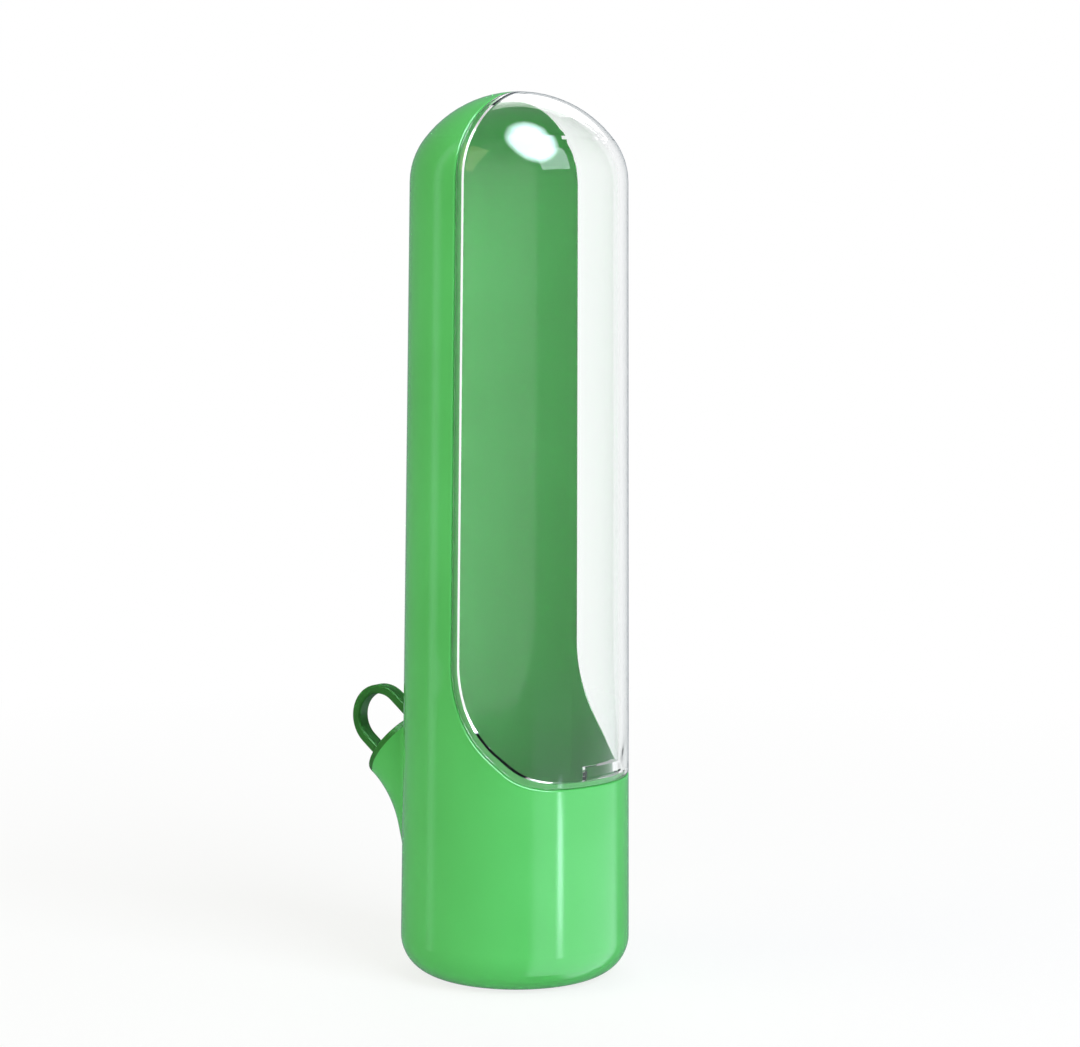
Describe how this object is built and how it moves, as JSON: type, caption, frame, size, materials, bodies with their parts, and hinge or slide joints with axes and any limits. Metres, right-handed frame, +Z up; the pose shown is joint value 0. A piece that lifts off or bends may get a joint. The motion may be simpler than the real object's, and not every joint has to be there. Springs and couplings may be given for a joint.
{
  "type": "herb keeper",
  "caption": "Slim upright pod that keeps cut herbs in water: domed housing, clear cover that tips open, back spout with a ring-pull plug and a sealed base dish.",
  "frame": {"origin": "centre of the pod's foot, on the table", "axes": "+Z up along the pod, -Y towards the clear cover, +Y towards the fill spout, +X to the side"},
  "size_m": [0.0618, 0.0855, 0.236],
  "materials": {
    "green_shell": "glossy moulded plastic",
    "clear_shell": "clear moulded plastic, gloss",
    "green_silicone": "satin soft silicone",
    "seal_silicone": "satin translucent silicone"
  },
  "bodies": {
    "pod": {"housing": "green_shell", "base_dish": "green_shell", "base_seal": "seal_silicone"},
    "cover": {"front_cover": "clear_shell"},
    "plug": {"fill_plug": "green_silicone"}
  },
  "joints": [
    {"name": "cover_tip", "type": "hinge", "parent": "pod", "child": "cover", "pos_m": [0, -0.0305, 0.0544], "axis": [1, 0, 0], "range_deg": [0, 80]},
    {"name": "plug_pull", "type": "slide", "parent": "pod", "child": "plug", "axis": [0, 0.788, 0.6157], "range_m": [0, 0.022]}
  ]
}
